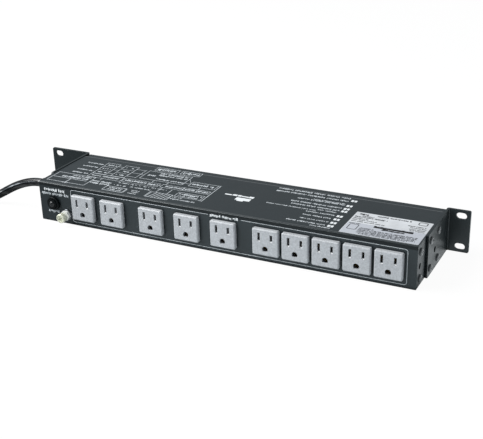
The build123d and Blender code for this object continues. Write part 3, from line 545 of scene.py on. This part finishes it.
def printed(name, face, material, shapes, lift=0.02, thick=0.05):
    """Unions the flat shapes and raises them from the face as closed slabs of ink."""
    to_frame, normal, slot = face
    corners, outlines = [], []
    for outline in shapes:
        outlines.append(list(range(len(corners), len(corners) + len(outline))))
        corners += [Vector(point) for point in outline]
    flat, _, triangles, _, _, sources = delaunay_2d_cdt(corners, [], outlines, 1, 1e-5)
    inside = [tuple(triangle) for triangle, source in zip(triangles, sources) if len(source)]
    slab, low, high = bmesh.new(), {}, {}
    for triangle in inside:
        for i in triangle:
            if i not in low:
                point = to_frame(flat[i].x, flat[i].y)
                low[i] = slab.verts.new(point + normal * lift * MM)
                high[i] = slab.verts.new(point + normal * (lift + thick) * MM)
    edges = set()
    for triangle in inside:
        slab.faces.new([high[i] for i in triangle])
        slab.faces.new([low[i] for i in reversed(triangle)])
        edges.update(zip(triangle, triangle[1:] + triangle[:1]))
    # walls stand on the edges that only one triangle uses
    for i, j in sorted(edges):
        if (j, i) not in edges:
            slab.faces.new([low[i], low[j], high[j], high[i]])
    add_to_case(name, slab, material)


# ---------------------------------------------------------------- print on the top
# lines of the diagram: width, then the (x, y) points they join
DIAGRAM_LINES = [
    (0.45, (152.59, 17.62), (136.91, 17.62), (136.56, 49.36), (152.23, 49.36), (152.59, 17.62)),
    (0.45, (129.79, 17.62), (113.39, 17.62), (113.05, 49.36), (129.43, 49.36), (129.79, 17.62)),
    (0.35, (152.47, 28.29), (136.79, 28.29)), (0.35, (129.67, 28.29), (113.28, 28.29)),
    (0.35, (152.35, 38.83), (136.68, 38.83)), (0.35, (129.55, 38.83), (113.16, 38.83)),
    (0.4, (136.85, 22.96), (129.73, 22.96)), (0.4, (113.34, 22.95), (101.93, 22.95)),
    (0.4, (136.74, 33.49), (129.61, 33.49)), (0.4, (113.22, 33.49), (101.82, 33.49)),
    (0.4, (136.62, 44.02), (129.49, 44.02)), (0.4, (113.11, 44.02), (101.7, 44.02)),
    (0.4, (101.95, 20.84), (101.69, 45.43)),
    (0.45, (152.22, 49.92), (111.62, 49.92), (111.51, 60.03), (152.11, 60.03), (152.22, 49.92)),
    (0.45, (97.68, 20.84), (46.33, 20.84), (46.1, 43.46), (97.43, 43.46), (97.68, 20.84)),
    (0.4, (94.68, 8.34), (67.58, 8.34), (67.48, 17.33), (94.58, 17.33), (94.68, 8.34)),
    (0.4, (63.58, 8.33), (40.76, 8.33), (40.66, 17.32), (63.49, 17.33), (63.58, 8.33)),
    (0.5, (74.19, 17.33), (74.15, 20.84)), (0.5, (57.07, 17.33), (57.03, 20.84)),
    (0.5, (78.9, 43.46), (78.83, 49.92)), (0.5, (61.79, 43.46), (61.72, 49.92)),
    (0.5, (23.99, 43.46), (23.93, 49.64)), (0.5, (48.07, 60.32), (47.96, 70.72)),
    (0.5, (60.92, 58.07), (60.79, 70.72)), (0.5, (132.88, 60.03), (132.83, 63.96)),
    (0.35, (110.19, 49.92), (67.43, 49.92), (67.33, 59.2), (110.09, 59.19), (110.19, 49.92)),
    (0.4, (64.29, 49.92), (39.19, 49.92), (39.11, 57.79), (64.21, 57.79), (64.29, 49.92)),
    (0.45, (38.8, 32.08), (9.41, 32.08), (9.29, 43.46), (38.68, 43.46), (38.8, 32.08)),
    (0.45, (38.62, 49.64), (9.23, 49.64), (9.16, 56.67), (38.55, 56.67), (38.62, 49.64)),
    (0.45, (38.49, 62.29), (9.11, 62.29), (8.99, 73.54), (38.38, 73.53), (38.49, 62.29)),
    (0.6, (6.98, 31.65), (6.55, 74.94)), (0.3, (46.28, 26.46), (38.74, 37.7)),
    (0.4, (9.41, 32.08), (6.98, 32.08)), (0.4, (8.99, 74.24), (6.56, 74.24)),
    (0.4, (101.81, 34.19), (97.53, 34.19)), (0.4, (46.15, 38.4), (38.74, 38.4)),
    (0.4, (67.38, 54.42), (64.24, 54.42)), (0.4, (39.15, 53.3), (38.58, 53.3)),
    (0.4, (111.56, 54.98), (110.14, 54.98)),
    (0.5, (186.7, 60.59), (140.28, 60.59), (140.02, 84.05), (186.43, 84.03), (186.7, 60.59)),
    (0.6, (184.71, 73.22), (144.13, 73.23)), (0.7, (163.35, 73.51), (163.23, 84.04)),
    (0.6, (116.33, 75.2), (92.53, 75.21), (92.42, 85.88), (116.21, 85.88), (116.33, 75.2)),
    (0.5, (66.49, 70.72), (66.35, 84.77)), (0.4, (91.38, 76.33), (91.29, 84.76)),
    (0.5, (65.06, 71.84), (40.68, 71.85), (40.54, 85.05), (64.92, 85.05), (65.06, 71.84)),
    (0.7, (62.08, 84.07), (58.63, 72.83)), (0.7, (58.37, 84.07), (54.92, 72.83)),
    (0.7, (54.67, 84.07), (51.22, 72.83)), (0.7, (50.96, 84.07), (47.51, 72.83)),
    (0.7, (47.25, 84.07), (43.8, 72.83)), (0.7, (43.54, 84.07), (40.09, 72.83)),
]
LINE_BOLDNESS = 1.15

# rows of small print: start x, end x, y, height and, where below 1, density
DIAGRAM_CAPTIONS = [
    (175.31, 155.36, 24.08, 2.7), (175.19, 155.25, 33.91, 2.7), (175.07, 155.13, 44.72, 2.7),
    (174.96, 155.03, 53.85, 2.7), (149.68, 138.99, 22.96, 3.0, 0.8),
    (126.16, 116.9, 22.95, 3.0, 0.8), (149.56, 138.87, 33.49, 3.0, 0.8),
    (126.05, 116.78, 33.49, 3.0, 0.8), (149.44, 138.76, 44.02, 3.0, 0.8),
    (125.93, 116.67, 44.02, 3.0, 0.8), (149.32, 113.7, 54.7, 3.4), (93.28, 84.01, 32.08, 3.6),
    (82.67, 48.44, 24.07, 3.2), (81.91, 48.39, 28.85, 3.2), (80.09, 46.86, 38.96, 3.2),
    (92.34, 69.24, 13.11, 4.6), (61.39, 42.13, 13.11, 4.6), (108.01, 68.8, 54.42, 4.2),
    (59.54, 40.29, 53.86, 3.2), (36.89, 11.21, 37.7, 4.4), (36.73, 11.05, 53.16, 3.6),
    (36.6, 10.92, 66.22, 3.8), (36.55, 13.01, 71.0, 2.2, 0.8), (166.3, 144.23, 63.96, 2.8),
    (176.93, 144.17, 69.02, 3.8), (166.78, 159.66, 84.74, 1.6), (139.19, 115.69, 68.6, 3.6),
    (139.14, 115.63, 73.52, 3.2), (111.4, 95.72, 70.01, 2.6, 0.8),
    (110.05, 53.03, 62.98, 2.2, 0.6), (112.02, 95.63, 78.44, 2.6), (111.97, 95.59, 82.65, 2.6),
    (92.88, 68.37, 69.03, 2.2, 0.9), (86.39, 76.41, 76.62, 2.0), (84.21, 76.37, 80.27, 2.0),
    (86.31, 76.33, 84.2, 2.0), (38.59, 11.21, 80.56, 2.6), (38.63, 27.22, 76.34, 1.8, 0.6),
]
NOTES = [
    (-49.72, -126.18, 12.38, 3.2), (-49.78, -126.24, 19.27, 3.0), (-77.02, -126.32, 29.39, 2.8),
    (-92.71, -126.3, 26.86, 2.0), (-73.52, -126.4, 37.69, 3.0), (-76.44, -126.45, 44.3, 2.8),
    (-106.49, -126.5, 49.65, 2.4), (-53.66, -105.8, 52.18, 2.0), (-97.27, -126.56, 56.82, 2.4),
    (-97.34, -126.63, 64.98, 2.6), (-98.13, -126.7, 73.28, 2.4), (-87.49, -126.77, 81.02, 2.8),
    (-113.24, -134.67, 85.94, 2.4),
]
# squares beside the notes, each printed as two upright bars about its centre: x0, y0, x1, y1
SQUARES = [
    (-134.67, 13.92, -127.76, 19.54), (-134.79, 27.28, -127.88, 32.91),
    (-134.85, 35.58, -127.95, 40.5), (-134.91, 42.19, -128.01, 47.12),
    (-135.02, 54.57, -128.11, 59.5), (-135.09, 62.59, -128.18, 67.51),
    (-135.16, 70.89, -128.26, 75.95), (-135.23, 78.34, -128.32, 84.11),
]


def print_top():
    printed("print_top_diagram_lines", TOP, INK_GREY,
            [stroke(start, end, width * LINE_BOLDNESS) for width, *points in DIAGRAM_LINES
             for start, end in zip(points, points[1:])])
    printed("print_top_diagram_captions", TOP, INK_GREY, text_rows(DIAGRAM_CAPTIONS), lift=0.03)
    printed("print_top_notes", TOP, INK_GREY, text_rows(NOTES), lift=0.03)
    bars = []
    for x0, y0, x1, y1 in SQUARES:
        x, y = (x0 + x1) / 2, (y0 + y1) / 2
        bars += [rectangle(x - 2.9, y - 2.1, x - 0.5, y + 2.1),
                 rectangle(x + 0.3, y - 2.1, x + 2.9, y + 2.1)]
    printed("print_top_squares", TOP, INK_WHITE, bars)
    # a row of broad strokes in the middle, with two stacked blocks behind it
    printed("print_top_bars", TOP, INK_WHITE,
            text_row(start=-6.1, end=-41.5, y=47.5, height=4.6, fill=1.1)
            + [rectangle(-37.0, 51.4, -21.1, 57.6), rectangle(-31.0, 57.6, -24.0, 59.8)])


# ---------------------------------------------------------------- print on the rear
OUTLINE_RADIUS = 2.5
# corner centres of the outline round the outlets: x, z, first angle of the arc
OUTLINE_CORNERS = [(148.7, 14.62, 0), (148.7, -15.7, -90), (-206.6, -15.8, 180),
                   (-206.6, 14.02, 90)]


def print_rear():
    # the outline is open at the top for a caption
    path = [(-9.8, 16.92)]
    for x, z, angle in OUTLINE_CORNERS:
        path += reversed(quarter_arc(x, z, OUTLINE_RADIUS, angle))
    path += [(-45.6, 16.72)]
    printed("print_rear_outline", REAR, INK_GREY, strip(path, width=0.48))
    printed("print_rear_caption", REAR, INK_WHITE,
            text_row(start=-12.1, end=-43.3, y=16.6, height=2.7, fill=0.36))
    printed("print_rear_legends", REAR, INK_WHITE,
            text_row(start=184.8, end=158.1, y=13.7, height=3.1, fill=0.4))
    printed("print_rear_legends_fine", REAR, INK_GREY,
            text_row(start=188.1, end=154.3, y=9.3, height=2.9, fill=0.34)
            + text_row(start=181.4, end=166.4, y=-10.1, height=3.0, fill=0.42))


def paint_cover_edge_highlights():
    """Paler paint along the cover's front edge and its rear bend: a painted highlight of the
    light these edges catch.
    """
    left, right = COVER_LO.x / MM, COVER_HI.x / MM
    printed("cover_edge_highlight", TOP, EDGE_HIGHLIGHT_PAINT,
            [rectangle(left + 1.2, 8.5, right - 1.2, 9.5),
             rectangle(left + 1.6, 89.9, right - 1.6, 90.6)], lift=0.004, thick=0.02)


# ---------------------------------------------------------------- outlet slots
BLADE_OFFSET = 6.35  # from the outlet's middle to each blade slot, along X
SLOT_HALF_WIDTH = 1.27
SLOT_RISE = 5.26  # from the outlet's middle up to the middle of its slots
SLOT_HEIGHTS = ((1, 8.8), (-1, 7.2))  # side along X, height


def add_lead_ins():
    """Lead-in ramps on the floors of the blade slots, near white as a painted highlight."""
    ramps = bmesh.new()
    for number in range(1, 11):
        low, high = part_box("outlet_%02d" % number)
        middle_x, middle_z = (low.x + high.x) / 2, (low.z + high.z) / 2
        inner, outer = high.y - 1.35 * MM, high.y - 0.06 * MM
        for side, height in SLOT_HEIGHTS:
            floor_z = middle_z + (SLOT_RISE - height / 2 + 0.03) * MM
            profile = [(inner, floor_z), (outer, floor_z), (outer, floor_z + 0.12 * MM),
                       (inner, floor_z + 0.8 * MM)]
            ends = []
            for edge in (-SLOT_HALF_WIDTH, SLOT_HALF_WIDTH):
                x = middle_x + (side * BLADE_OFFSET + edge) * MM
                ends.append([ramps.verts.new((x, y, z)) for y, z in profile])
            first, last = ends
            ramps.faces.new(first)
            ramps.faces.new(list(reversed(last)))
            for i in range(4):
                j = (i + 1) % 4
                ramps.faces.new([first[j], first[i], last[i], last[j]])
    add_to_case("slot_lead_ins", ramps, SLOT_LIP_HIGHLIGHT)


# ---------------------------------------------------------------- print on the label
# rows of small print: start x, end x, y, height
LABEL_ROWS = [
    (-164.33, -197.23, 43.46, 2.2), (-144.37, -176.54, 50.6, 2.0), (-151.0, -163.0, 47.4, 1.6),
    (-144.41, -158.71, 54.4, 1.5), (-144.46, -168.63, 57.6, 1.5), (-144.46, -176.63, 61.2, 1.5),
    (-196.48, -213.5, 52.6, 1.6), (-199.48, -214.5, 56.2, 1.6), (-199.51, -214.53, 59.6, 1.5),
    (-201.0, -214.53, 62.6, 1.4), (-157.5, -171.0, 74.2, 1.6), (-157.5, -212.6, 76.8, 1.7),
    (-157.5, -213.0, 79.3, 1.7), (-157.5, -211.5, 81.8, 1.7), (-157.5, -213.0, 84.2, 1.6),
    (-160.5, -206.2, 86.6, 1.5), (-144.8, -155.5, 66.2, 1.5),
]


def print_label():
    """A tint panel, plain bars, two empty rounded frames and rows of small print."""
    printed("label_tint", LABEL, LABEL_TINT, [rectangle(-217.05, 64.42, -143.35, 88.78)],
            lift=0.01, thick=0.02)
    above_tint = dict(lift=0.04, thick=0.03)
    printed("label_bars", LABEL, LABEL_INK,
            [rectangle(-206.0, 65.9, -168.8, 69.3), rectangle(-197.9, 70.4, -178.4, 72.2)]
            + text_row(start=-168.8, end=-206.0, y=67.6, height=4.6, fill=0.6)
            + text_row(start=-177.4, end=-198.9, y=71.4, height=2.8, fill=0.8)
            + text_row(start=-147.2, end=-155.8, y=44.1, height=3.0, fill=0.5), **above_tint)
    printed("label_marks", LABEL, LABEL_INK,
            strip(rounded_loop(-212.6, 41.6, -204.6, 47.6, radius=1.6), width=0.8, closed=True)
            + strip(rounded_loop(-155.1, 68.3, -146.6, 79.7, radius=1.6), width=0.7, closed=True),
            **above_tint)
    printed("label_small_print", LABEL, LABEL_GREY,
            [shape for start, end, y, height in LABEL_ROWS
             for shape in text_row(start, end, y, height * 1.12, fill=0.4)], **above_tint)


print_top()
print_rear()
paint_cover_edge_highlights()
add_lead_ins()
print_label()


# ---------------------------------------------------------------- floor
# brightness of the paper across the floor, 0 at x = -0.4 m and 1 at x = 0.4 m: its colour, darker
# towards +X as painted shade, and a glow in reflections only, a painted reflection past the -X
# end
PAPER_BOUNCE_SHADE = {0.0: 0.82, 0.5: 0.80, 0.62: 0.70, 0.72: 0.42, 0.8: 0.30, 1.0: 0.24}
PAPER_REFLECTION_GLOW = {0.0: 0.76, 0.20: 0.80, 0.226: 0.78, 0.246: 0.14, 0.5: 0.05, 0.7: 0.02, 1.0: 0.0}


def floor_material():
    """White paper: near white with a trace of shadow to the camera, graded to other rays as
    painted shade and glowing in their reflections as a painted reflection.
    """
    material = bpy.data.materials.new("stage_floor")
    tree = Nodes(material)
    rays = tree.add("LightPath").outputs
    glow = tree.add("Emission", {"Strength": 0.95})
    shadow_catcher = tree.add("BsdfDiffuse", {"Color": (0.06, 0.06, 0.06, 1)})
    seen = tree.add("AddShader", {0: glow.outputs[0], 1: shadow_catcher.outputs[0]})
    place = tree.add("SeparateXYZ", {0: tree.add("NewGeometry").outputs["Position"]}).outputs

    def along_x(levels):
        """Slightly blue greys of the given brightness across the floor."""
        stops = {position: scaled((level * 0.96, level, level * 1.02))
                 for position, level in levels.items()}
        return tree.ramp(tree.remap(place["X"], span=(-0.4, 0.4)), stops)

    # painted shade: the paper is darker towards +X, so it throws less light back on that side of
    # the case
    bounce_shaded_paper = tree.add("BsdfDiffuse", {"Color": along_x(PAPER_BOUNCE_SHADE)})
    reflection_glow_colour = along_x(PAPER_REFLECTION_GLOW)
    # painted reflection: the paper glows in reflections only, and fades out towards the rear
    fade = tree.remap(place["Y"], span=(0.058, 0.088), to=(1.0, 0.0))
    strength = tree.multiply(fade, rays["Is Glossy Ray"])
    painted_reflection_glow = tree.add("Emission", {"Color": reflection_glow_colour, "Strength": strength})
    paper = tree.add("AddShader", {0: bounce_shaded_paper.outputs[0], 1: painted_reflection_glow.outputs[0]})
    mixed = tree.add("MixShader", {0: rays["Is Camera Ray"], 1: paper.outputs[0],
                                   2: seen.outputs[0]})
    tree.add("OutputMaterial", {0: mixed.outputs[0]})
    return material


grid = bmesh.new()
bmesh.ops.create_grid(grid, x_segments=8, y_segments=8, size=30.0)
floor = add_object("stage_floor", grid, floor_material())
floor.location = (0, 0, CAD_BOX[0][2] - 0.0003)


# ---------------------------------------------------------------- world and lights
def build_world():
    """White to the camera, a dim cool fill to every other ray."""
    world = bpy.data.worlds.new("studio")
    scene.world = world
    tree = Nodes(world)
    seen = tree.add("Background", {"Color": (1, 1, 1, 1), "Strength": 1.0})
    fill = tree.add("Background", {"Color": (0.92, 0.97, 1.0, 1), "Strength": 0.36})
    mixed = tree.add("MixShader", {0: tree.add("LightPath").outputs["Is Camera Ray"],
                                   1: fill.outputs[0], 2: seen.outputs[0]})
    tree.add("OutputWorld", {0: mixed.outputs[0]})


def add_area_light(name, place, target, size, power, colour=(1, 1, 1)):
    light = bpy.data.lights.new(name, "AREA")
    light.shape = "RECTANGLE"
    light.size, light.size_y = size
    light.energy = power
    light.color = colour
    light.spread = math.radians(180)
    lamp = bpy.data.objects.new(name, light)
    lamp.location = place
    aim = Vector(target) - Vector(place)
    lamp.rotation_euler = aim.to_track_quat("-Z", "Y").to_euler()
    scene.collection.objects.link(lamp)


build_world()
add_area_light("softbox", place=(1.25, 0.6, 1.36), target=(0, 0.05, 0), size=(1.3, 1.2),
               power=47.5)
add_area_light("cord_kicker", place=(1.30, 0.66, 0.26), target=(0.24, 0.03, 0.0),
               size=(0.5, 0.25), power=2.3, colour=(0.84, 0.93, 1.0))

# ---------------------------------------------------------------- camera
CAMERA_PLACE = (-0.42478, 0.83527, 0.380377)
AZIMUTH = math.radians(207.0035)  # from -Y, anticlockwise seen from above
ELEVATION = math.radians(23.5086)
ROLL = math.radians(-1.5793)


def add_camera():
    back = Vector((math.sin(AZIMUTH) * math.cos(ELEVATION),
                   -math.cos(AZIMUTH) * math.cos(ELEVATION), math.sin(ELEVATION)))
    level = (-back).cross(Vector((0, 0, 1))).normalized()
    upright = level.cross(-back)
    right = math.cos(ROLL) * level + math.sin(ROLL) * upright
    top = -math.sin(ROLL) * level + math.cos(ROLL) * upright
    camera = bpy.data.objects.new("camera", bpy.data.cameras.new("camera"))
    camera.data.sensor_fit = "HORIZONTAL"
    camera.data.sensor_width = 36.0
    camera.data.lens = 71.63
    camera.data.clip_start = 0.01
    turn = Matrix((right, top, back)).transposed().to_4x4()
    camera.matrix_world = Matrix.Translation(Vector(CAMERA_PLACE)) @ turn
    scene.collection.objects.link(camera)
    scene.camera = camera


add_camera()
